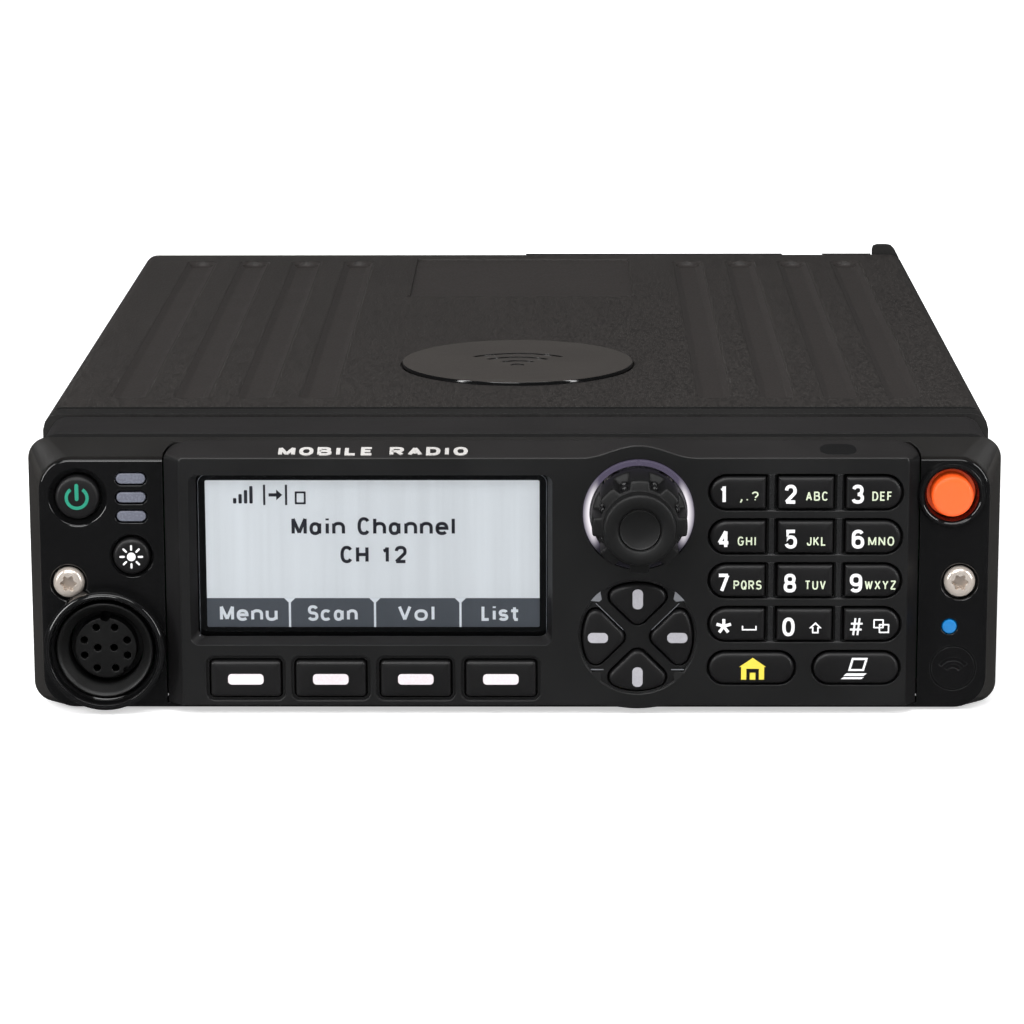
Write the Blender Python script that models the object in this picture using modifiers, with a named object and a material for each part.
"""A vehicle-mounted two-way radio: a finned transceiver with a full-keypad control head on its front.

Metres, +Z up. +X is the user's right and +Y runs from the front face to the rear.
The origin is the centre of the underside, halfway along the casing.
Every piece hangs on the empty front_datum, on the face of the control head's wings, so a local y is a
distance behind that face and a negative y stands proud of it.
"""

import math

import bmesh
import bpy
from mathutils import Matrix

# ---------------------------------------------------------------- driving dimensions
WIDTH = 0.178
HEIGHT = 0.0508
DEPTH = 0.218
GAP = 0.0003  # clearance left between neighbouring pieces

# Stations along y, behind the wing face
SKIN = 0.0022  # thickness of the head's front wall
HOUSING_SEAM = 0.005  # back edge of the front housing
FASCIA_BACK = 0.0035
BOARD_FRONT = 0.0055
BOARD_THICKNESS = 0.0016
INTERFACE_FRONT = 0.0161
HEAD_BACK = 0.0236
FLANGE_FRONT = 0.0248
COVER_FRONT = 0.030
REAR_WALL = 0.2095
COVER_REAR = 0.215

# Control head
HEAD_BOTTOM = 0.0004
HEAD_TOP = 0.05055
HEAD_CORNER = 0.004
FACE_CORNER = 0.006
WING_INSET = 0.0022  # the wing face is this much narrower, each side, than the seam behind it
WING_BOTTOM = 0.0005
WING_TOP = 0.0475
WALL = 0.0022

# Centre fascia, the block that stands proud between the wings
FASCIA_PROUD = 0.003
FASCIA_LEFT = -0.0609
FASCIA_RIGHT = 0.0718
FASCIA_BOTTOM = 0.00175
FASCIA_TOP = 0.0483
FASCIA_FLARE = 0.0028  # how far its flanks spread from its face to the wings
FASCIA_PLATE = 0.0025

# Display window in the fascia
WINDOW_LEFT = -0.0570
WINDOW_RIGHT = 0.0056
WINDOW_BOTTOM = 0.0143
WINDOW_TOP = 0.0450
WINDOW_CHAMFER = 0.0013

# Keys
KEY_TRAVEL = 0.0008
KEY_GAP = 0.00035  # between a key and the edge of its opening
KEY_PROUD = 0.0005
KEY_LIP = 0.0004  # the flange behind the fascia is this much wider than the opening
SOFT_KEY = (0.0135, 0.0074)
SOFT_KEY_CENTRE = (-0.04913, 0.00692)
SOFT_KEY_PITCH = 0.01558
PAD_KEY = (0.0107, 0.0066)
PAD_CENTRE = (0.0530, 0.0254)
PAD_PITCH = (0.0123, 0.0082)
PAD_END_RADIUS = 0.0033
WIDE_KEY = (0.0162, 0.0064)
WIDE_KEY_OFFSET = 0.00955

# Knob and navigation pad, one above the other
KNOB_CENTRE = (0.0227, 0.0377)
KNOB_RADIUS = 0.0086
KNOB_FRONT = -0.0160
KNOB_BACK = -0.0026
KNOB_LOBES = 8
KNOB_PRESS = 0.0005
RING_INNER = 0.00895
RING_OUTER = 0.0101
SHAFT_RADIUS = 0.003
ENCODER_HALF = 0.0062
NAV_CENTRE = (0.0226, 0.01476)
NAV_RADIUS = 0.01035
NAV_WEB = 0.0013  # where a petal's two slanted sides would meet, out from the centre
NAV_CORNER = 0.002

# Wing controls
POWER_CENTRE = (-0.0796, 0.0403)
POWER_RADIUS = 0.0040
DIMMER_CENTRE = (-0.0699, 0.0293)
DIMMER_RADIUS = 0.00335
EMERGENCY_CENTRE = (0.0797, 0.0408)
EMERGENCY_RADIUS = 0.0041
INDICATOR_SIZE = (0.0053, 0.0019)
INDICATOR_X = -0.0698
INDICATOR_HEIGHTS = (0.04374, 0.04023, 0.03672)
DOT_CENTRE = (0.0798, 0.0160)
DOT_RADIUS = 0.0016
SCREW_CENTRES = {"left": (-0.0816, 0.0242), "right": (0.0815, 0.0244)}
SCREW_HEAD_RADIUS = 0.0029
SCREW_SHANK_RADIUS = 0.0019
SCREW_RECESS_RADIUS = 0.0033
SCREW_SEAT = 0.0013  # depth of the recess that the screw's head sits in

# Microphone socket
SOCKET_CENTRE = (-0.0750, 0.0121)
COLLAR_RADIUS = 0.0112
COLLAR_PROUD = 0.004
SHELL_RADIUS = 0.0089
SHELL_BORE = 0.0069
INSERT_RADIUS = 0.0057
CONTACT_RADIUS = 0.00055

# Transceiver
CASE_HALF_WIDTH = 0.0888
CASE_CORNER = 0.003
LEDGE_HEIGHT = 0.034  # where the cover's skirts stop
FLOOR_BOTTOM = 0.006
FLOOR_TOP = 0.010
FIN_PITCH = 0.0116
FIN_THICKNESS = 0.003
COVER_WALL = 0.0020
CHANNEL_CENTRES = (0.0381, 0.0502, 0.0623, 0.0745)
CHANNEL_WIDTH = 0.0060
CHANNEL_DEPTH = 0.0009
CHANNEL_START = 0.041
CHANNEL_END = 0.2055
BADGE_CENTRE_Y = 0.0760
BADGE_RADIUS = 0.0231
LABEL_HALF_WIDTH = 0.0245
LABEL_START = 0.157
LABEL_END = 0.2087
BOARD_HEIGHT = 0.020
TRUNNION_STATIONS = (0.070, 0.170)
TRUNNION_HEIGHT = 0.020
TRUNNION_PAD_RADIUS = 0.007
TRUNNION_PROUD = 0.0005
TRUNNION_HOLE_RADIUS = 0.0025
REAR_FINS = 10
REAR_FIN_PITCH = 0.0085

# Rear connectors, as (x, z) and sizes
ANTENNA_CENTRE = (0.0771, 0.0310)
ANTENNA_RADIUS = 0.0044
GPS_CENTRE = (0.0105, 0.0400)
GPS_RADIUS = 0.0030
POWER_PLUG = (0.0425, 0.0400)
POWER_PLUG_SIZE = (0.0214, 0.0094)
ACCESSORY_PLUG = (0.0305, 0.0180)
ACCESSORY_PLUG_SIZE = (0.0474, 0.0114)

# ---------------------------------------------------------------- a clean scene
for old in list(bpy.data.objects):
    bpy.data.objects.remove(old)

parts = bpy.data.collections.new("portable_radio")
cutters = bpy.data.collections.new("cutters")
bpy.context.scene.collection.children.link(parts)
bpy.context.scene.collection.children.link(cutters)

datum = bpy.data.objects.new("front_datum", None)
datum.location = (0, -DEPTH / 2, 0)
parts.objects.link(datum)


# ---------------------------------------------------------------- materials
def material(name, colour, roughness, metallic=0.0):
    made = bpy.data.materials.new(name)
    made.use_nodes = True
    shader = made.node_tree.nodes["Principled BSDF"]
    shader.inputs["Base Color"].default_value = (*colour, 1)
    shader.inputs["Roughness"].default_value = roughness
    shader.inputs["Metallic"].default_value = metallic
    return made


CAST = material("black_casting", (0.018, 0.017, 0.016), 0.55, 0.4)
TEXTURED = material("textured_black", (0.035, 0.033, 0.031), 0.75)
SATIN = material("satin_black", (0.030, 0.029, 0.028), 0.45)
GLOSS = material("gloss_black", (0.008, 0.008, 0.009), 0.12)
FASCIA = material("fascia_black", (0.015, 0.015, 0.016), 0.35)
KEYCAP = material("keycap_black", (0.012, 0.012, 0.012), 0.5)
RUBBER = material("rubber_black", (0.02, 0.02, 0.02), 0.85)
SILICONE = material("silicone_grey", (0.35, 0.36, 0.37), 0.7)
ORANGE = material("emergency_orange", (0.90, 0.13, 0.02), 0.4)
BLUE = material("dot_blue", (0.04, 0.26, 0.80), 0.4)
STEEL = material("stainless_steel", (0.62, 0.60, 0.57), 0.25, 1.0)
NICKEL = material("nickel_plate", (0.66, 0.64, 0.60), 0.3, 1.0)
TIN = material("tinned_steel", (0.55, 0.56, 0.57), 0.35, 1.0)
LENS = material("clear_lens", (0.9, 0.92, 0.95), 0.05)
DISPLAY = material("display_grey", (0.62, 0.68, 0.74), 0.3)
LIGHT = material("light_pipe", (0.55, 0.56, 0.66), 0.3)
GREEN_BOARD = material("circuit_board", (0.02, 0.14, 0.06), 0.5)
CERAMIC = material("ceramic_grey", (0.45, 0.44, 0.42), 0.6)
AMBER = material("flex_amber", (0.55, 0.30, 0.05), 0.4)


# ---------------------------------------------------------------- outlines, as (x, z) seen from the front
def arc(centre, radius, start, end, steps):
    angles = [math.radians(start + (end - start) * i / steps) for i in range(steps + 1)]
    return [(centre[0] + radius * math.cos(a), centre[1] + radius * math.sin(a)) for a in angles]


def circle(centre, radius, steps=24):
    return arc(centre, radius, 0, 360, steps)[:-1]


def corner_steps(radius):
    return max(1, min(4, round(radius / 0.0009)))


def rounded_box(centre, size, radii, grow=0.0):
    """Counter-clockwise rounded rectangle. radii is one value, or one for each end, left then right."""
    left, right = radii if isinstance(radii, tuple) else (radii, radii)
    half_x = size[0] / 2 + grow
    half_z = size[1] / 2 + grow
    corners = ((1, -1, right, 270), (1, 1, right, 0), (-1, 1, left, 90), (-1, -1, left, 180))
    points = []
    for side_x, side_z, radius, start in corners:
        steps = corner_steps(radius)
        radius = min(max(radius + grow, 0.0002), half_x, half_z)
        middle = (centre[0] + side_x * (half_x - radius), centre[1] + side_z * (half_z - radius))
        points += arc(middle, radius, start, start + 90, steps)
    return without_repeats(points)


def box_between(low_x, high_x, low_z, high_z, radius):
    centre = ((low_x + high_x) / 2, (low_z + high_z) / 2)
    return rounded_box(centre, (high_x - low_x, high_z - low_z), radius)


def without_repeats(points):
    """A half-round end is two quarter arcs that share a point."""
    kept = []
    for point in points:
        if not kept or math.dist(point, kept[-1]) > 1e-7:
            kept.append(point)
    if math.dist(kept[0], kept[-1]) < 1e-7:
        kept.pop()
    return kept


def petal(turn, centre=(0, 0), grow=0.0, steps=4):
    """One key of the navigation pad: two sides at 45 degrees, a round outer edge and rounded corners."""
    radius = NAV_RADIUS + grow
    web = NAV_WEB - grow * math.sqrt(2)
    corner = NAV_CORNER + grow
    # The outer corners' centres lie one corner radius inside both the side and the outer edge.
    inner_web = web + corner * math.sqrt(2)
    inner_radius = radius - corner
    corner_x = (-inner_web + math.sqrt(2 * inner_radius**2 - inner_web**2)) / 2
    corner_z = corner_x + inner_web
    edge = math.degrees(math.atan2(corner_z, corner_x))
    points = arc((0, inner_web), corner, -135, -45, steps)
    points += arc((corner_x, corner_z), corner, -45, edge, steps)
    points += arc((0, 0), radius, edge, 180 - edge, 2 * steps)[1:-1]
    points += arc((-corner_x, corner_z), corner, 180 - edge, 225, steps)
    c, s = math.cos(math.radians(turn)), math.sin(math.radians(turn))
    return [(centre[0] + x * c - z * s, centre[1] + x * s + z * c) for x, z in points]


def swell(x, centre_x, half_width):
    """1 at centre_x, falling smoothly to 0 at half_width either side."""
    t = (x - centre_x) / half_width
    return 0.5 + 0.5 * math.cos(math.pi * t) if abs(t) < 1 else 0.0


def fascia_outline(y, grow=0.0, steps=8):
    """The fascia's outline at depth y. Its flanks spread as far as the wings, and its top rises to the seam.

    The top swells over the knob and the bottom swells under the navigation pad.
    """
    back = (y + FASCIA_PROUD) / (HOUSING_SEAM + FASCIA_PROUD)
    flare = FASCIA_FLARE * min(1.0, (y + FASCIA_PROUD) / FASCIA_PROUD)
    left = FASCIA_LEFT - flare - grow
    right = FASCIA_RIGHT + flare * 0.7 + grow
    bottom = FASCIA_BOTTOM - grow
    top = FASCIA_TOP + (HEAD_TOP - FASCIA_TOP) * back + grow
    knob_lift = 0.0023 * (1 - back)
    nav_drop = 0.0006
    shoulder_z = 0.0474 + grow
    run = 0.0008 + 0.0056 * back
    points = [(left, bottom)]
    nav_half = 0.007
    for i in range(steps + 1):
        x = NAV_CENTRE[0] + nav_half * (2 * i / steps - 1)
        points.append((x, bottom - nav_drop * swell(x, NAV_CENTRE[0], nav_half)))
    rise = top - shoulder_z
    quarter = [math.radians(turn) for turn in (0, 22.5, 45, 67.5, 90)]
    points.append((right, bottom))
    points += [(right - run * (1 - math.cos(a)), shoulder_z + rise * math.sin(a)) for a in quarter]
    knob_half = 0.0105
    for i in range(steps + 1):
        x = KNOB_CENTRE[0] - knob_half * (2 * i / steps - 1)
        points.append((x, top + knob_lift * swell(x, KNOB_CENTRE[0], knob_half)))
    points += [(left + run * (1 - math.sin(a)), shoulder_z + rise * math.cos(a)) for a in quarter]
    return points


# ---------------------------------------------------------------- solids
def extrude_through(bm, stages):
    """Adds the first stage's outline as a face and extrudes it to each later stage in turn."""
    first = bm.faces.new([bm.verts.new(point) for point in stages[0]])
    last = first
    for stage in stages[1:]:
        grown = bmesh.ops.extrude_face_region(bm, geom=[last])["geom"]
        if last is not first:
            bmesh.ops.delete(bm, geom=[last], context="FACES_ONLY")
        last = next(item for item in grown if isinstance(item, bmesh.types.BMFace))
        for vert, point in zip(last.verts, stage):
            vert.co = point
    return first


def lofted(stages):
    """A shape that runs through several outlines, each a list of (x, y, z) points."""
    return lambda bm: extrude_through(bm, stages)


def at_depth(outline, y):
    return [(x, y, z) for x, z in outline]


def prism(outline, front, back):
    return lofted([at_depth(outline, front), at_depth(outline, back)])


def cylinder(centre, radius, front, back, steps=20):
    """A straight cylinder along y about (x, z)."""
    middle = Matrix.Translation((centre[0], (front + back) / 2, centre[1]))
    place = middle @ Matrix.Rotation(math.pi / 2, 4, "X")
    return lambda bm: bmesh.ops.create_cone(
        bm, cap_ends=True, segments=steps, radius1=radius, radius2=radius, depth=back - front, matrix=place
    )


def cylinder_across(centre, radius, low_x, high_x, steps=20):
    """A straight cylinder along x about (y, z)."""
    place = Matrix.Translation(((low_x + high_x) / 2, *centre)) @ Matrix.Rotation(math.pi / 2, 4, "Y")
    return lambda bm: bmesh.ops.create_cone(
        bm, cap_ends=True, segments=steps, radius1=radius, radius2=radius, depth=high_x - low_x, matrix=place
    )


def upright_cylinder(centre, radius, low, high, steps=36):
    """A straight cylinder along z about (x, y)."""
    place = Matrix.Translation((*centre, (low + high) / 2))
    return lambda bm: bmesh.ops.create_cone(
        bm, cap_ends=True, segments=steps, radius1=radius, radius2=radius, depth=high - low, matrix=place
    )


def block(low, high):
    middle = [(a + b) / 2 for a, b in zip(low, high)]
    size = [b - a for a, b in zip(low, high)]
    place = Matrix.Translation(middle) @ Matrix.Diagonal((*size, 1))
    return lambda bm: bmesh.ops.create_cube(bm, size=1, matrix=place)


def add_object(name, data, look, location=(0, 0, 0), collection=None):
    made = bpy.data.objects.new(name, data)
    made.location = location
    made.parent = datum
    (collection or parts).objects.link(made)
    if look:
        data.materials.append(look)
    return made


def solid(name, shapes, look=None, location=(0, 0, 0), collection=None):
    """One object from shapes, each of which adds itself to a mesh."""
    bm = bmesh.new()
    for add_shape in shapes:
        add_shape(bm)
    bmesh.ops.recalc_face_normals(bm, faces=bm.faces)
    mesh = bpy.data.meshes.new(name)
    bm.to_mesh(mesh)
    bm.free()
    return add_object(name, mesh, look, location, collection)


def open_box(name, rim, end, wall, look):
    """A thin-walled box: its sides run from the open rim to the closed end, thickened inwards."""
    bm = bmesh.new()
    opening = extrude_through(bm, [rim, end])
    bmesh.ops.recalc_face_normals(bm, faces=bm.faces)
    bmesh.ops.delete(bm, geom=[opening], context="FACES_ONLY")
    mesh = bpy.data.meshes.new(name)
    bm.to_mesh(mesh)
    bm.free()
    made = add_object(name, mesh, look)
    thicken(made, wall)
    return made


def thicken(surface, wall):
    solidify = surface.modifiers.new("wall", "SOLIDIFY")
    solidify.thickness = wall
    solidify.offset = -1
    solidify.use_even_offset = True


def plate(name, outlines, front, back, look):
    """A flat sheet facing the front: the first outline is its edge and the others are holes through it."""
    curve = bpy.data.curves.new(name, "CURVE")
    curve.dimensions = "2D"
    curve.fill_mode = "BOTH"
    curve.extrude = (back - front) / 2
    for outline in outlines:
        spline = curve.splines.new("POLY")
        spline.points.add(len(outline) - 1)
        for point, (x, z) in zip(spline.points, outline):
            point.co = (x, z, 0, 1)
        spline.use_cyclic_u = True
    made = add_object(name, curve, look, (0, (front + back) / 2, 0))
    made.rotation_euler = (math.pi / 2, 0, 0)
    return made


def turned(name, profile, look, location, steps=20, collection=None):
    """A turned solid about an axis along y. The profile runs front to back, as (radius, y)."""
    bm = bmesh.new()
    verts = [bm.verts.new((radius, 0, -behind)) for radius, behind in profile]
    for near, far in zip(verts, verts[1:]):
        bm.edges.new((near, far))
    if profile[0][0] > 0:
        bm.edges.new((verts[-1], verts[0]))
    mesh = bpy.data.meshes.new(name)
    bm.to_mesh(mesh)
    bm.free()
    made = add_object(name, mesh, look, (location[0], 0, location[1]), collection)
    made.rotation_euler = (math.pi / 2, 0, 0)
    screw = made.modifiers.new("turn", "SCREW")
    screw.steps = steps
    screw.render_steps = steps
    screw.use_merge_vertices = True
    screw.merge_threshold = 0.00001
    return made


def combine(target, tool, operation):
    """Cuts or joins tool into target, and puts tool away among the cutters."""
    modifier = target.modifiers.new(operation.lower(), "BOOLEAN")
    modifier.operation = operation
    modifier.object = tool
    tool.hide_render = True
    tool.display_type = "WIRE"
    if tool.name in parts.objects:
        parts.objects.unlink(tool)
        cutters.objects.link(tool)


def cut(target, name, shapes):
    """Cuts shapes that don't touch one another out of target."""
    combine(target, solid(name, shapes, collection=cutters), "DIFFERENCE")


def join(target, name, shapes):
    """Joins shapes that don't touch one another to target."""
    combine(target, solid(name, shapes, collection=cutters), "UNION")


# ---------------------------------------------------------------- where the keys are
def soft_key_places():
    return {
        f"soft_key_{n + 1}": (SOFT_KEY_CENTRE[0] + n * SOFT_KEY_PITCH, SOFT_KEY_CENTRE[1])
        for n in range(4)
    }


def pad_key_places():
    """Each number key's centre and the radii of its two ends. The outer columns have round ends."""
    names = ("1", "2", "3", "4", "5", "6", "7", "8", "9", "star", "0", "hash")
    ends = ((PAD_END_RADIUS, 0.0005), (0.0005, 0.0005), (0.0005, PAD_END_RADIUS))
    found = {}
    for index, label in enumerate(names):
        row, column = divmod(index, 3)
        x = PAD_CENTRE[0] + (column - 1) * PAD_PITCH[0]
        z = PAD_CENTRE[1] + (2 - row) * PAD_PITCH[1]
        found[f"key_{label}"] = ((x, z), ends[column])
    return found


def wide_key_places():
    z = PAD_CENTRE[1] - 2 * PAD_PITCH[1]
    return {
        "home_key": (PAD_CENTRE[0] - WIDE_KEY_OFFSET, z),
        "data_key": (PAD_CENTRE[0] + WIDE_KEY_OFFSET, z),
    }


NAV_TURNS = {"nav_up": 0, "nav_left": 90, "nav_down": 180, "nav_right": 270}


def key_outlines():
    """Every fascia key as name: (centre, function of grow that gives its outline about that centre)."""
    found = {}
    for name, centre in soft_key_places().items():
        found[name] = (centre, lambda grow: rounded_box((0, 0), SOFT_KEY, 0.0010, grow))
    for name, (centre, ends) in pad_key_places().items():
        found[name] = (centre, lambda grow, ends=ends: rounded_box((0, 0), PAD_KEY, ends, grow))
    for name, centre in wide_key_places().items():
        found[name] = (centre, lambda grow: rounded_box((0, 0), WIDE_KEY, WIDE_KEY[1] / 2, grow))
    for name, turn in NAV_TURNS.items():
        found[name] = (NAV_CENTRE, lambda grow, turn=turn: petal(turn, grow=grow, steps=2))
    return found


def shifted(outline, centre):
    return [(x + centre[0], z + centre[1]) for x, z in outline]


# ---------------------------------------------------------------- control head
def head_outline(inset, low, high, radius):
    half = WIDTH / 2 - inset
    return box_between(-half, half, low, high, radius)


def front_housing():
    """The gloss wings and the frame behind the fascia, with a sloping rim and the socket's collar."""
    cavity = head_outline(WING_INSET + 0.001, WING_BOTTOM + 0.0029, WING_TOP - 0.0009, 0.004)
    stages = [
        at_depth(cavity, SKIN),
        at_depth(cavity, HOUSING_SEAM),
        at_depth(head_outline(0, HEAD_BOTTOM, HEAD_TOP, HEAD_CORNER), HOUSING_SEAM),
        at_depth(head_outline(WING_INSET, WING_BOTTOM, WING_TOP, FACE_CORNER), 0),
    ]
    housing = solid("front_housing", [lofted(stages)], GLOSS)
    join(housing, "collar", [cylinder(SOCKET_CENTRE, COLLAR_RADIUS, -COLLAR_PROUD, 0.0008, 28)])
    room_back = FASCIA_BACK + GAP
    fascia_room = [at_depth(fascia_outline(y, GAP), y) for y in (-FASCIA_PROUD, 0, room_back)]
    fascia_room.insert(0, at_depth(fascia_outline(-FASCIA_PROUD, GAP), -0.006))
    cut(housing, "fascia_room", [lofted(fascia_room)])
    front, behind = -0.003, HOUSING_SEAM + 0.001
    holes = [
        cylinder(POWER_CENTRE, POWER_RADIUS + KEY_GAP, front, behind),
        cylinder(DIMMER_CENTRE, DIMMER_RADIUS + KEY_GAP, front, behind),
        cylinder(EMERGENCY_CENTRE, EMERGENCY_RADIUS + KEY_GAP, front, behind),
        cylinder(DOT_CENTRE, DOT_RADIUS + GAP, front, behind, 12),
        cylinder(SOCKET_CENTRE, SHELL_RADIUS + GAP, -COLLAR_PROUD - 0.001, behind, 28),
    ]
    for z in INDICATOR_HEIGHTS:
        window = rounded_box((INDICATOR_X, z), INDICATOR_SIZE, INDICATOR_SIZE[1] / 2, GAP)
        holes.append(prism(window, front, behind))
    cut(housing, "wing_holes", holes)
    for side, centre in SCREW_CENTRES.items():
        cut(housing, f"screw_recess_{side}", [cylinder(centre, SCREW_RECESS_RADIUS, front, SCREW_SEAT)])
        cut(housing, f"screw_hole_{side}", [cylinder(centre, SCREW_SHANK_RADIUS + GAP, 0, behind, 16)])


def centre_fascia():
    """The matt block between the wings: a front plate with every key opening, and walls behind it."""
    inner = box_between(FASCIA_LEFT + 0.0008, FASCIA_RIGHT + 0.0003, 0.0025, 0.0468, 0.001)
    block_stages = [at_depth(fascia_outline(y), y) for y in (-FASCIA_PROUD, 0, FASCIA_BACK)]
    fascia = solid("centre_fascia", [lofted(block_stages)], FASCIA)
    plate_back = FASCIA_PLATE - FASCIA_PROUD
    cut(fascia, "fascia_hollow", [prism(inner, plate_back, FASCIA_BACK + 0.001)])
    pocket = cylinder(KNOB_CENTRE, RING_OUTER + 0.0013, plate_back, FASCIA_BACK + 0.001, 32)
    cut(fascia, "ring_pocket", [pocket])
    front = -FASCIA_PROUD - 0.001
    behind = plate_back + 0.0005
    holes = [cylinder(KNOB_CENTRE, RING_OUTER + GAP, front, behind, 32)]
    for centre, outline_of in key_outlines().values():
        holes.append(prism(shifted(outline_of(0), centre), front, behind))
    cut(fascia, "key_openings", holes)
    reach = WINDOW_CHAMFER * 1.5
    window = [
        at_depth(window_outline(reach), -FASCIA_PROUD - 0.001),
        at_depth(window_outline(0), -FASCIA_PROUD + 0.002),
        at_depth(window_outline(0), behind),
    ]
    cut(fascia, "window_opening", [lofted(window)])


def window_outline(grow):
    """The display opening. It keeps its top edge, and grows down and sideways towards the face."""
    return box_between(
        WINDOW_LEFT - grow * 0.8, WINDOW_RIGHT + grow * 0.5, WINDOW_BOTTOM - grow * 0.7, WINDOW_TOP, 0.0015
    )


def key_cap(name, centre, outline_of):
    """A cap with a crowned edge, a flange that holds it in the fascia and a plunger that meets the mat."""
    front = -FASCIA_PROUD - KEY_PROUD
    flange = FASCIA_PLATE - FASCIA_PROUD + GAP
    stages = (
        (front, -KEY_GAP - 0.0005),
        (front + 0.0004, -KEY_GAP),
        (flange, -KEY_GAP),
        (flange, KEY_LIP),
        (flange + 0.0008, KEY_LIP),
        (flange + 0.0008, -0.0015),
        (0.0027, -0.0015),
    )
    shape = lofted([at_depth(outline_of(grow), y) for y, grow in stages])
    solid(name, [shape], KEYCAP, (centre[0], 0, centre[1]))


def fascia_keys():
    for name, (centre, outline_of) in key_outlines().items():
        key_cap(name, centre, outline_of)


def round_button(name, centre, radius, proud, look):
    """A round wing button: a cap with a rounded edge and a flange behind the wing."""
    flange = SKIN + GAP
    profile = [
        (0, -proud), (radius - 0.0006, -proud), (radius, -proud + 0.0006), (radius, flange),
        (radius + 0.0008, flange), (radius + 0.0008, flange + 0.0006), (0, flange + 0.0006),
    ]
    turned(name, profile, look, centre)


def wing_buttons():
    round_button("power_button", POWER_CENTRE, POWER_RADIUS, 0.0008, KEYCAP)
    round_button("dimmer_button", DIMMER_CENTRE, DIMMER_RADIUS, 0.0008, KEYCAP)
    round_button("emergency_button", EMERGENCY_CENTRE, EMERGENCY_RADIUS, 0.0022, ORANGE)


def indicator_light_pipe():
    """Three clear windows standing on one carrier bar behind the wing."""
    half_x = INDICATOR_SIZE[0] / 2 + 0.0006
    front = SKIN + GAP
    low = (INDICATOR_X - half_x, front, INDICATOR_HEIGHTS[2] - 0.0016)
    high = (INDICATOR_X + half_x, BOARD_FRONT - GAP, INDICATOR_HEIGHTS[0] + 0.0016)
    bar = solid("indicator_light_pipe", [block(low, high)], LIGHT)
    windows = []
    for z in INDICATOR_HEIGHTS:
        outline = rounded_box((INDICATOR_X, z), INDICATOR_SIZE, INDICATOR_SIZE[1] / 2)
        windows.append(prism(outline, -0.0003, front + 0.0005))
    join(bar, "indicator_windows", windows)


def display():
    lens_front = FASCIA_PLATE - FASCIA_PROUD + GAP
    lens_back = lens_front + 0.0012
    edge = 0.0012
    left, right, bottom = WINDOW_LEFT - edge, WINDOW_RIGHT + edge, WINDOW_BOTTOM - edge
    outline = box_between(left, right, bottom, WINDOW_TOP + edge, 0.001)
    plate("display_lens", [outline], lens_front, lens_back, LENS)
    low = (left, lens_back + GAP, bottom)
    solid("lcd_module", [block(low, (right, BOARD_FRONT - GAP, WINDOW_TOP + GAP))], DISPLAY)


def keypad_mat():
    """The silicone sheet behind the fascia keys, cut away round the display and the encoder."""
    front = KEY_TRAVEL + 0.0027 + GAP
    edge = box_between(FASCIA_LEFT + 0.0014, FASCIA_RIGHT - 0.0006, 0.0042, 0.0464, 0.001)
    clear = 0.0018
    display_hole = box_between(
        WINDOW_LEFT - 0.0012 - GAP, WINDOW_RIGHT + clear, WINDOW_BOTTOM - clear, WINDOW_TOP + 2 * GAP, 0.0006
    )
    half = ENCODER_HALF + GAP
    encoder_hole = rounded_box(KNOB_CENTRE, (2 * half, 2 * half), 0.0006)
    plate("keypad_mat", [edge, display_hole, encoder_hole], front, BOARD_FRONT - GAP, SILICONE)


def grip_scale(angle, reach):
    """1 on a lobe, and less in the scoops between lobes. reach runs from 0, no scoops, to 1."""
    scoop = 0.5 - 0.5 * math.cos(KNOB_LOBES * angle)
    return 1 - 0.16 * reach * scoop**2


def multifunction_knob():
    """A lobed grip on a plain skirt, with a dished front and a blind bore for the shaft."""
    bore = SHAFT_RADIUS + GAP
    profile = (
        (KNOB_FRONT + 0.004, bore, 0), (KNOB_BACK, bore, 0), (KNOB_BACK, KNOB_RADIUS, 0),
        (KNOB_BACK - 0.0020, KNOB_RADIUS, 0), (KNOB_BACK - 0.0026, KNOB_RADIUS - 0.0002, 1),
        (KNOB_FRONT + 0.0029, KNOB_RADIUS, 1), (KNOB_FRONT + 0.0024, KNOB_RADIUS - 0.0019, 0),
        (KNOB_FRONT + 0.0004, KNOB_RADIUS - 0.0020, 0), (KNOB_FRONT, KNOB_RADIUS - 0.0024, 0),
        (KNOB_FRONT, 0.0037, 0), (KNOB_FRONT + 0.0004, 0.0034, 0),
    )
    steps = 4 * KNOB_LOBES
    angles = [2 * math.pi * i / steps for i in range(steps)]
    stages = []
    for y, radius, reach in profile:
        sizes = [radius * grip_scale(angle, reach) for angle in angles]
        stages.append([(r * math.sin(a), y, r * math.cos(a)) for r, a in zip(sizes, angles)])
    solid("multifunction_knob", [lofted(stages)], RUBBER, (KNOB_CENTRE[0], 0, KNOB_CENTRE[1]))


def knob_light_ring():
    """A light guide round the knob: a bright rim in the fascia on a wider foot behind it."""
    rim_front = -FASCIA_PROUD - 0.0003
    foot_front = FASCIA_PLATE - FASCIA_PROUD + GAP
    profile = [
        (RING_INNER, rim_front + 0.0006), (RING_OUTER, rim_front), (RING_OUTER, foot_front),
        (RING_OUTER + 0.0010, foot_front), (RING_OUTER + 0.0010, foot_front + 0.001),
        (RING_INNER, foot_front + 0.001),
    ]
    turned("knob_light_ring", profile, LIGHT, KNOB_CENTRE, steps=32)


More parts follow.
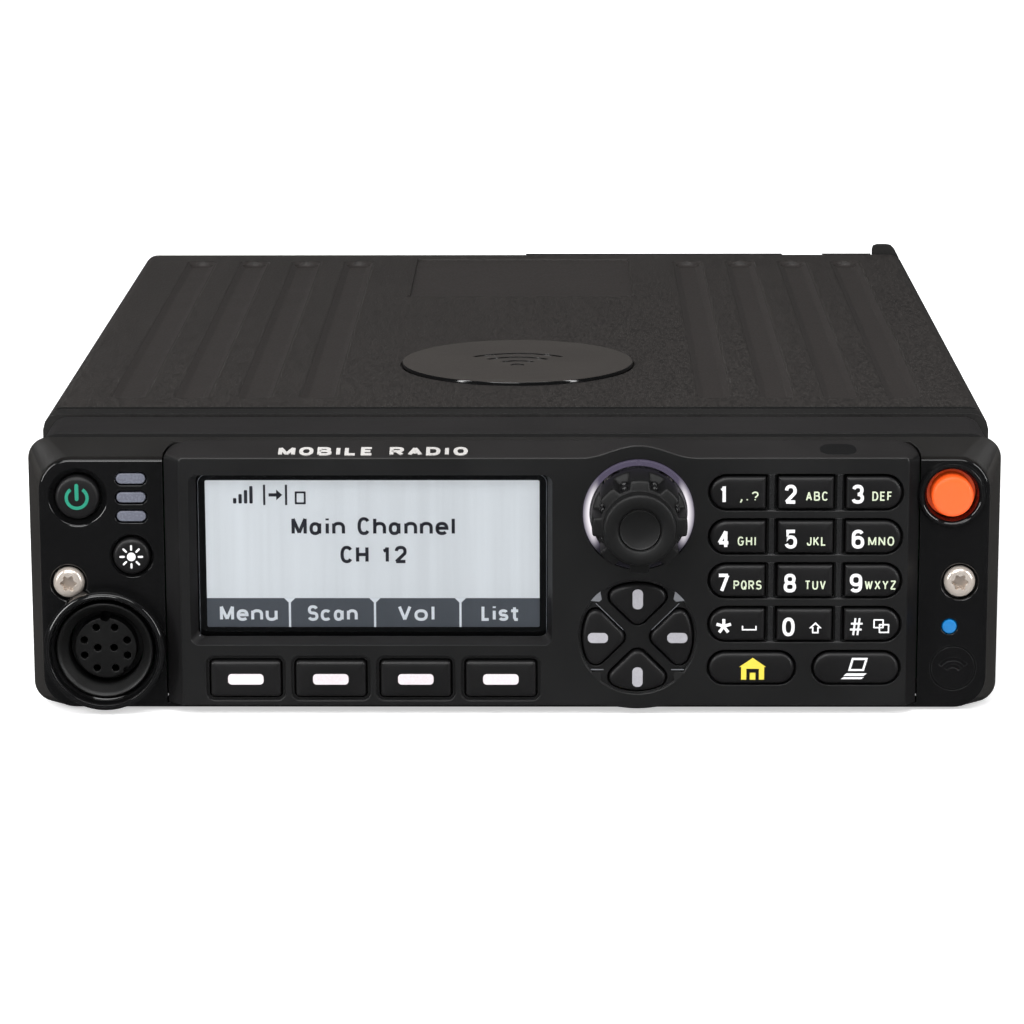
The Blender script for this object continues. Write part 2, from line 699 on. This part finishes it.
def encoder():
    """The rotary encoder with its push switch. The shaft slides through a rotor that turns with it."""
    front, back = 0.0006, BOARD_FRONT - GAP
    bushing_front = KNOB_BACK + KNOB_PRESS + GAP
    rotor_front, rotor_back = front + 0.0014, front + 0.0030
    room_radius, rotor_radius, bore = 0.0052, 0.0048, SHAFT_RADIUS + GAP
    outline = rounded_box(KNOB_CENTRE, (2 * ENCODER_HALF, 2 * ENCODER_HALF), 0.0006)
    body = solid("encoder_body", [prism(outline, front, back)], NICKEL)
    join(body, "encoder_bushing", [cylinder(KNOB_CENTRE, 0.0045, bushing_front, front + 0.0005)])
    cut(body, "rotor_room", [cylinder(KNOB_CENTRE, room_radius, rotor_front - GAP, back + 0.001)])
    cut(body, "shaft_hole", [cylinder(KNOB_CENTRE, bore, bushing_front - 0.001, rotor_front)])
    rotor = [(bore, rotor_front), (rotor_radius, rotor_front), (rotor_radius, rotor_back), (bore, rotor_back)]
    turned("encoder_rotor", rotor, CERAMIC, KNOB_CENTRE)
    shaft_front = KNOB_FRONT + 0.004 + GAP
    shaft_back = rotor_back + 0.0006
    shaft = [
        (0, shaft_front), (SHAFT_RADIUS - 0.0005, shaft_front), (SHAFT_RADIUS, shaft_front + 0.0005),
        (SHAFT_RADIUS, shaft_back), (0, shaft_back),
    ]
    turned("encoder_shaft", shaft, NICKEL, KNOB_CENTRE)


def microphone_socket():
    """A round shell in the collar, with a sloping mouth, and the contact block standing in it."""
    shell_front = -0.0026
    back = BOARD_FRONT - GAP
    shell = [
        (SHELL_BORE + 0.0010, shell_front), (SHELL_RADIUS, shell_front), (SHELL_RADIUS, back),
        (SHELL_BORE, back), (SHELL_BORE, shell_front + 0.0018),
    ]
    turned("microphone_socket", shell, SATIN, SOCKET_CENTRE, steps=28)
    face, base = -0.0007, 0.0022
    profile = [
        (0, face), (INSERT_RADIUS, face), (INSERT_RADIUS, base),
        (SHELL_BORE - GAP, base), (SHELL_BORE - GAP, back), (0, back),
    ]
    insert = turned("socket_insert", profile, RUBBER, SOCKET_CENTRE, steps=20)
    places = shifted(contact_places(), SOCKET_CENTRE)
    holes = [cylinder(place, CONTACT_RADIUS, face - 0.001, 0.0036, 6) for place in places]
    cut(insert, "contact_holes", holes)


def contact_places():
    """Ten contacts about the socket's axis: eight in a ring and two in the middle."""
    ring = [polar(0.0042, degrees) for degrees in (20, 66, 114, 160, 200, 246, 294, 340)]
    return ring + [(-0.0015, 0), (0.0015, 0)]


def polar(radius, degrees):
    return (radius * math.cos(math.radians(degrees)), radius * math.sin(math.radians(degrees)))


def front_screw(name, centre):
    """A long button-head screw from the wing, through the head, into the transceiver's flange."""
    face = -0.0008
    under = SCREW_SEAT - GAP
    tip = COVER_FRONT + 0.004
    profile = [
        (0, face + 0.0009), (0.0011, face + 0.0009), (0.0012, face), (0.0020, face + 0.0003),
        (SCREW_HEAD_RADIUS, face + 0.0012), (SCREW_HEAD_RADIUS, under), (SCREW_SHANK_RADIUS, under),
        (SCREW_SHANK_RADIUS, tip), (0, tip),
    ]
    turned(name, profile, STEEL, centre, steps=16)


def id_dot():
    flange = SKIN + GAP
    profile = [
        (0, -0.0002), (DOT_RADIUS, -0.0002), (DOT_RADIUS, flange), (DOT_RADIUS + 0.0008, flange),
        (DOT_RADIUS + 0.0008, flange + 0.0007), (0, flange + 0.0007),
    ]
    turned("id_dot", profile, BLUE, DOT_CENTRE, steps=12)


def screw_outlines():
    return [circle(centre, SCREW_SHANK_RADIUS + GAP, 12) for centre in SCREW_CENTRES.values()]


def screw_holes(front, back):
    return [cylinder(centre, SCREW_SHANK_RADIUS + GAP, front, back, 12) for centre in SCREW_CENTRES.values()]


def head_boards():
    """The control board behind the keys, and the interface board that plugs the head into the transceiver."""
    edge = head_outline(0.0050, 0.0048, 0.0462, 0.004)
    plate("head_board", [edge, *screw_outlines()], BOARD_FRONT, BOARD_FRONT + BOARD_THICKNESS, GREEN_BOARD)
    interface = box_between(-0.046, 0.046, 0.010, 0.042, 0.001)
    plate("interface_board", [interface], INTERFACE_FRONT, INTERFACE_FRONT + BOARD_THICKNESS, GREEN_BOARD)


def head_rear_housing():
    """An open tray behind the front housing, with posts for both boards and a window for the plug-in cable."""
    inset = WIDTH / 2 - 0.0873
    outline = head_outline(inset, 0.0010, HEAD_TOP, HEAD_CORNER - 0.0005)
    rim = at_depth(outline, HOUSING_SEAM + GAP)
    housing = open_box("head_rear_housing", rim, at_depth(outline, HEAD_BACK), WALL, SATIN)
    floor = HEAD_BACK - WALL
    posts = []
    for x in (-0.081, 0.081):
        for z in (0.0080, 0.0430):
            posts.append(post((x, z), BOARD_FRONT + BOARD_THICKNESS + GAP, floor + 0.001))
    for x in (-0.043, 0.043):
        for z in (0.0130, 0.0390):
            posts.append(post((x, z), INTERFACE_FRONT + BOARD_THICKNESS + GAP, floor + 0.001))
    join(housing, "board_posts_head", posts)
    window = prism(cable_window(0), floor - 0.001, HEAD_BACK + 0.001)
    cut(housing, "rear_housing_holes", [window, *screw_holes(floor - 0.001, HEAD_BACK + 0.001)])


def post(centre, front, back):
    """A square post along y."""
    half = 0.0015
    low = (centre[0] - half, front, centre[1] - half)
    return block(low, (centre[0] + half, back, centre[1] + half))


def cable_window(grow):
    return box_between(-0.020 - grow, 0.020 + grow, 0.0155 - grow, 0.0365 + grow, 0.002)


def head_gasket():
    """A flat rubber ring between the head and the transceiver, round the cable window and the screws."""
    edge = head_outline(0.0040, 0.0040, 0.0478, 0.005)
    outlines = [edge, cable_window(0.002), *screw_outlines()]
    plate("head_gasket", outlines, HEAD_BACK + GAP, FLANGE_FRONT - GAP, RUBBER)


# ---------------------------------------------------------------- transceiver
def case_section():
    """The casting's cross-section: a finned floor with side walls, an outer ledge and an inner lip."""
    outer = CASE_HALF_WIDTH
    lip_outer = outer - COVER_WALL - GAP
    lip_inner = lip_outer - 0.0022
    lip_top = LEDGE_HEIGHT + 0.004
    right = [(outer, LEDGE_HEIGHT), (lip_outer, LEDGE_HEIGHT), (lip_outer, lip_top), (lip_inner, lip_top)]
    right.append((lip_inner, FLOOR_TOP))
    points = right + [(-x, z) for x, z in reversed(right)] + [(-outer, FLOOR_BOTTOM)]
    fins = int(2 * outer / FIN_PITCH)
    for n in range(fins):
        x = (n - (fins - 1) / 2) * FIN_PITCH
        low_x, high_x = x - FIN_THICKNESS / 2, x + FIN_THICKNESS / 2
        points += [(low_x, FLOOR_BOTTOM), (low_x, 0), (high_x, 0), (high_x, FLOOR_BOTTOM)]
    points.append((outer, FLOOR_BOTTOM))
    return points


def chassis():
    """The die-cast heat sink: a finned tray, a front flange and a rear wall for the connectors."""
    casting = solid("chassis", [prism(case_section(), COVER_FRONT - 0.0015, COVER_REAR - 0.0005)], CAST)
    flange = box_between(-CASE_HALF_WIDTH, CASE_HALF_WIDTH, 0, HEIGHT, CASE_CORNER)
    join(casting, "front_flange", [prism(flange, FLANGE_FRONT, COVER_FRONT - GAP)])
    under_cover = HEIGHT - COVER_WALL - 2 * GAP
    inside = CASE_HALF_WIDTH - COVER_WALL - 2 * GAP
    wall = block((-inside, REAR_WALL, FLOOR_BOTTOM + 0.001), (inside, COVER_REAR, under_cover))
    join(casting, "rear_wall", [wall])
    behind_cover = COVER_REAR + GAP
    top = HEIGHT - 0.0002
    join(casting, "rear_blocks", [
        block((0.0004, 0.214, 0.008), (0.0609, DEPTH, under_cover)),
        block((0.0700, 0.214, 0.012), (0.0842, DEPTH, under_cover)),
    ])
    join(casting, "rear_block_tops", [
        block((0.0006, behind_cover, 0.046), (0.0607, DEPTH - 0.0002, top)),
        block((0.0702, behind_cover, 0.046), (0.0815, DEPTH - 0.0002, top)),
    ])
    lug_top = HEIGHT + 0.0021
    lug = [
        (0.0818, 0.0380), (0.0885, 0.0380), (0.0885, HEIGHT - 0.0030), (0.0880, HEIGHT - 0.0008),
        (0.0870, lug_top - 0.0010), (0.0862, lug_top - 0.0002), (0.0852, lug_top), (0.0830, lug_top),
        (0.0821, lug_top - 0.0003), (0.0818, lug_top - 0.0011),
    ]
    join(casting, "corner_lug", [prism(lug, behind_cover, DEPTH - 0.0004)])
    fins = []
    for n in range(REAR_FINS):
        x = -0.005 - n * REAR_FIN_PITCH
        fins.append(block((x - 0.0011, 0.214, 0.0085), (x + 0.0011, DEPTH, 0.0460)))
    join(casting, "rear_fins", fins)
    posts = []
    for x in (-0.072, 0.072):
        for y in (0.050, 0.190):
            low = (x - 0.003, y - 0.003, FLOOR_TOP - 0.001)
            posts.append(block(low, (x + 0.003, y + 0.003, BOARD_HEIGHT - GAP)))
    join(casting, "board_posts", posts)
    bracket_bosses(casting)
    openings = [prism(cable_window(0), FLANGE_FRONT - 0.001, COVER_FRONT + 0.002)]
    openings += screw_holes(FLANGE_FRONT - 0.001, COVER_FRONT + 0.006)
    for outline in connector_openings().values():
        openings.append(prism(outline, REAR_WALL - 0.001, DEPTH + 0.001))
    cut(casting, "chassis_openings", openings)


def bracket_bosses(casting):
    """Round pads on both sides, each with a hole for the mounting bracket's screws."""
    pads = []
    holes = []
    for side in (-1, 1):
        for y in TRUNNION_STATIONS:
            face = side * (CASE_HALF_WIDTH + TRUNNION_PROUD)
            root = side * (CASE_HALF_WIDTH - 0.0060)
            pads.append(cylinder_across((y, TRUNNION_HEIGHT), TRUNNION_PAD_RADIUS, *sorted((root, face)), 20))
            ends = sorted((root + side * 0.001, face + side * 0.001))
            holes.append(cylinder_across((y, TRUNNION_HEIGHT), TRUNNION_HOLE_RADIUS, *ends, 12))
    join(casting, "bracket_pads", pads)
    cut(casting, "bracket_holes", holes)


def connector_openings():
    return {
        "antenna": circle(ANTENNA_CENTRE, ANTENNA_RADIUS + GAP, 20),
        "gps": circle(GPS_CENTRE, GPS_RADIUS + GAP, 16),
        "power": rounded_box(POWER_PLUG, POWER_PLUG_SIZE, 0.001, GAP),
        "accessory": rounded_box(ACCESSORY_PLUG, ACCESSORY_PLUG_SIZE, 0.001, GAP),
    }


def rear_connectors():
    """The antenna and positioning sockets are turned; the power and accessory plugs are open boxes."""
    for name, centre, radius, reach in (
        ("antenna_connector", ANTENNA_CENTRE, ANTENNA_RADIUS, 0.012),
        ("gps_connector", GPS_CENTRE, GPS_RADIUS, 0.008),
    ):
        end, depth = DEPTH + reach, DEPTH + 0.002
        profile = [
            (0, 0.206), (radius, 0.206), (radius, end), (radius * 0.65, end),
            (radius * 0.65, depth), (0, depth),
        ]
        turned(name, profile, NICKEL, centre, steps=20)
    for name, centre, size, reach in (
        ("power_connector", POWER_PLUG, POWER_PLUG_SIZE, 0.006),
        ("accessory_connector", ACCESSORY_PLUG, ACCESSORY_PLUG_SIZE, 0.005),
    ):
        outline = rounded_box(centre, size, 0.001)
        open_box(name, at_depth(outline, DEPTH + reach), at_depth(outline, 0.208), 0.0015, RUBBER)


def top_cover():
    """A moulded cover with side skirts, eight channels, a label recess and a seat for the badge."""
    radius = CASE_CORNER
    half = [(0, HEIGHT), *reversed(arc((CASE_HALF_WIDTH - radius, HEIGHT - radius), radius, 0, 90, 4))]
    half.append((CASE_HALF_WIDTH, LEDGE_HEIGHT + GAP))
    bm = bmesh.new()
    verts = [bm.verts.new((x, COVER_FRONT, z)) for x, z in half]
    edges = [bm.edges.new(pair) for pair in zip(verts, verts[1:])]
    swept = bmesh.ops.extrude_edge_only(bm, edges=edges)["geom"]
    length = COVER_REAR - COVER_FRONT
    bmesh.ops.translate(bm, vec=(0, length, 0), verts=[v for v in swept if isinstance(v, bmesh.types.BMVert)])
    for face in bm.faces:
        face.normal_update()
        outward = face.normal.x + face.normal.z > 0
        if not outward:
            face.normal_flip()
    mesh = bpy.data.meshes.new("top_cover")
    bm.to_mesh(mesh)
    bm.free()
    cover = add_object("top_cover", mesh, TEXTURED)
    mirror = cover.modifiers.new("other_half", "MIRROR")
    mirror.merge_threshold = 0.00005
    thicken(cover, COVER_WALL)
    middle_y = (CHANNEL_START + CHANNEL_END) / 2
    length = CHANNEL_END - CHANNEL_START
    tools = []
    for x in [side * centre for side in (-1, 1) for centre in CHANNEL_CENTRES]:
        stages = []
        for inset, z in ((0.0012, HEIGHT - CHANNEL_DEPTH), (0, HEIGHT), (-0.0012, HEIGHT + CHANNEL_DEPTH)):
            outline = rounded_box((x, middle_y), (CHANNEL_WIDTH, length), CHANNEL_WIDTH / 2, -inset)
            stages.append([(px, py, z) for px, py in outline])
        tools.append(lofted(stages))
    above = HEIGHT + 0.002
    low = (-LABEL_HALF_WIDTH, LABEL_START, HEIGHT - 0.0005)
    tools.append(block(low, (LABEL_HALF_WIDTH, LABEL_END, above)))
    tools.append(upright_cylinder((0, BADGE_CENTRE_Y), BADGE_RADIUS + GAP, HEIGHT - 0.0006, above))
    cut(cover, "cover_recesses", tools)


def cover_badge():
    """A plain round plaque seated in the cover."""
    shape = upright_cylinder((0, BADGE_CENTRE_Y), BADGE_RADIUS, HEIGHT - 0.0003, HEIGHT + 0.0007)
    badge = solid("cover_badge", [shape], GLOSS)
    bevel = badge.modifiers.new("edge", "BEVEL")
    bevel.width = 0.0004
    bevel.limit_method = "ANGLE"
    bevel.angle_limit = math.radians(60)


def shield_can(name, low, high):
    """A pressed shield, open underneath."""
    corners = [(low[0], low[1]), (high[0], low[1]), (high[0], high[1]), (low[0], high[1])]
    rim = [(x, y, low[2]) for x, y in corners]
    top = [(x, y, high[2]) for x, y in corners]
    open_box(name, rim, top, 0.0008, TIN)


def transceiver_insides():
    """The main board with its two shields, and the power amplifier on the floor below it."""
    board_top = BOARD_HEIGHT + BOARD_THICKNESS
    solid("main_board", [block((-0.079, 0.038, BOARD_HEIGHT), (0.079, 0.2050, board_top))], GREEN_BOARD)
    low = board_top + GAP
    shield_can("rf_shield", (-0.074, 0.110, low), (0.030, 0.200, low + 0.012))
    shield_can("logic_shield", (-0.060, 0.046, low), (0.060, 0.104, low + 0.008))
    pad_top = FLOOR_TOP + GAP + 0.0008
    solid("thermal_pad", [block((-0.060, 0.130, FLOOR_TOP + GAP), (0.000, 0.180, pad_top))], SILICONE)
    amplifier_top = BOARD_HEIGHT - 0.001
    solid("power_amplifier", [block((-0.060, 0.130, pad_top + GAP), (0.000, 0.180, amplifier_top))], CERAMIC)


def interconnect_flex():
    """A flat cable from the head's interface board, through both windows, down to the main board."""
    start = INTERFACE_FRONT + BOARD_THICKNESS + GAP
    landing = BOARD_HEIGHT + BOARD_THICKNESS + GAP
    lower = [
        (start, 0.0330), (start + 0.0017, 0.0330), (HEAD_BACK + 0.0010, 0.0300),
        (COVER_FRONT + 0.0030, 0.0280), (0.0385, landing), (0.0440, landing),
    ]
    side = lower + [(y, z + 0.0005) for y, z in reversed(lower)]
    stages = [[(x, y, z) for y, z in side] for x in (-0.016, 0.016)]
    solid("interconnect_flex", [lofted(stages)], AMBER)


def shade_round_pieces():
    for piece in parts.objects:
        if piece.type == "MESH":
            piece.data.shade_smooth()
            piece.data.set_sharp_from_angle(angle=math.radians(35))


front_housing()
centre_fascia()
fascia_keys()
wing_buttons()
indicator_light_pipe()
display()
keypad_mat()
multifunction_knob()
knob_light_ring()
encoder()
microphone_socket()
for screw_side, screw_centre in SCREW_CENTRES.items():
    front_screw(f"front_screw_{screw_side}", screw_centre)
id_dot()
head_boards()
head_rear_housing()
head_gasket()
chassis()
rear_connectors()
top_cover()
cover_badge()
transceiver_insides()
interconnect_flex()
shade_round_pieces()
